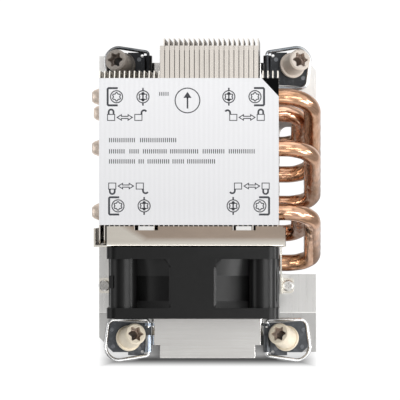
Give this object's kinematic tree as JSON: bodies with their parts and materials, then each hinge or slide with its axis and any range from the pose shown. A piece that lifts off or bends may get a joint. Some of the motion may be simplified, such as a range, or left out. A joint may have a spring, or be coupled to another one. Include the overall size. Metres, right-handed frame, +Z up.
{
  "type": "server processor heatsink",
  "caption": "Tall finned heatsink with C-bent copper heat pipes, a square fan in a bent sheet shroud, and captive corner nuts with wire locks.",
  "frame": {"origin": "centre of the base on the contact face that rests on the processor", "axes": "+Z up from the processor, +Y from the fan towards the outlet end, +X towards the bends of the heat pipes"},
  "size_m": [0.0802, 0.1145, 0.0654],
  "materials": {
    "cast_aluminium": "satin",
    "brushed_aluminium": "brushed along its length",
    "fin_aluminium": "satin sheet",
    "copper": "drawn copper, lightly tarnished",
    "label_film": "satin film",
    "black_plastic": "satin",
    "ivory_plastic": "satin",
    "bright_steel": "bright",
    "black_spring_steel": "blackened",
    "plated_sheet": "nickel plated",
    "ferrite": "matt",
    "motor_core": "varnished laminations",
    "circuit_board": "satin"
  },
  "bodies": {
    "heatsink": {"base_plate": "cast_aluminium", "base_spine": "brushed_aluminium", "cold_plate": "copper", "fins_left": "fin_aluminium", "fins_center": "fin_aluminium", "fins_right": "fin_aluminium", "top_label": "label_film", "fan_frame": "black_plastic", "fan_bearings": "bright_steel", "fan_stator": "motor_core", "fan_circuit_board": "circuit_board", "fan_screws": "bright_steel", "fan_shroud": "plated_sheet", "shroud_screws": "bright_steel", "clip_rivets": "bright_steel", "heat_pipe_1": "copper", "heat_pipe_2": "copper", "heat_pipe_3": "copper", "heat_pipe_4": "copper", "heat_pipe_5": "copper", "clip_plate_front_left": "black_spring_steel", "clip_plate_front_right": "black_spring_steel", "clip_plate_rear_left": "black_spring_steel", "clip_plate_rear_right": "black_spring_steel"},
    "rotor": {"fan_rotor": "black_plastic", "fan_shaft": "bright_steel", "fan_magnet": "ferrite"},
    "nut_front_left": {"nut_front_left": "ivory_plastic"},
    "bail_front_left": {"wire_bail_front_left": "bright_steel"},
    "nut_front_right": {"nut_front_right": "ivory_plastic"},
    "bail_front_right": {"wire_bail_front_right": "bright_steel"},
    "nut_rear_left": {"nut_rear_left": "ivory_plastic"},
    "bail_rear_left": {"wire_bail_rear_left": "bright_steel"},
    "nut_rear_right": {"nut_rear_right": "ivory_plastic"},
    "bail_rear_right": {"wire_bail_rear_right": "bright_steel"}
  },
  "joints": [
    {"name": "fan_spin", "type": "hinge", "parent": "heatsink", "child": "rotor", "pos_m": [-0.00405, -0.03, 0.0354], "axis": [0, 1, 0], "continuous": true},
    {"name": "nut_spin_front_left", "type": "hinge", "parent": "heatsink", "child": "nut_front_left", "pos_m": [-0.0294, -0.049, 0.0038], "axis": [0.3305, 0.2203, 0.9177], "continuous": true},
    {"name": "bail_swing_front_left", "type": "hinge", "parent": "heatsink", "child": "bail_front_left", "pos_m": [-0.02135, -0.048, 0.00475], "axis": [0, 1, 0], "range_deg": [0, 90]},
    {"name": "nut_spin_front_right", "type": "hinge", "parent": "heatsink", "child": "nut_front_right", "pos_m": [0.0294, -0.049, 0.0038], "axis": [-0.3305, 0.2288, 0.9156], "continuous": true},
    {"name": "bail_swing_front_right", "type": "hinge", "parent": "heatsink", "child": "bail_front_right", "pos_m": [0.02135, -0.048, 0.00475], "axis": [0, -1, 0], "range_deg": [0, 90]},
    {"name": "nut_spin_rear_left", "type": "hinge", "parent": "heatsink", "child": "nut_rear_left", "pos_m": [-0.0294, 0.049, 0.0038], "axis": [-0.2881, 0.2203, 0.9319], "continuous": true},
    {"name": "bail_swing_rear_left", "type": "hinge", "parent": "heatsink", "child": "bail_rear_left", "pos_m": [-0.02135, 0.048, 0.00475], "axis": [0, 1, 0], "range_deg": [0, 10]},
    {"name": "nut_spin_rear_right", "type": "hinge", "parent": "heatsink", "child": "nut_rear_right", "pos_m": [0.0294, 0.049, 0.0038], "axis": [0.339, 0.2203, 0.9146], "continuous": true},
    {"name": "bail_swing_rear_right", "type": "hinge", "parent": "heatsink", "child": "bail_rear_right", "pos_m": [0.02135, 0.048, 0.00475], "axis": [0, -1, 0], "range_deg": [0, 10]}
  ]
}
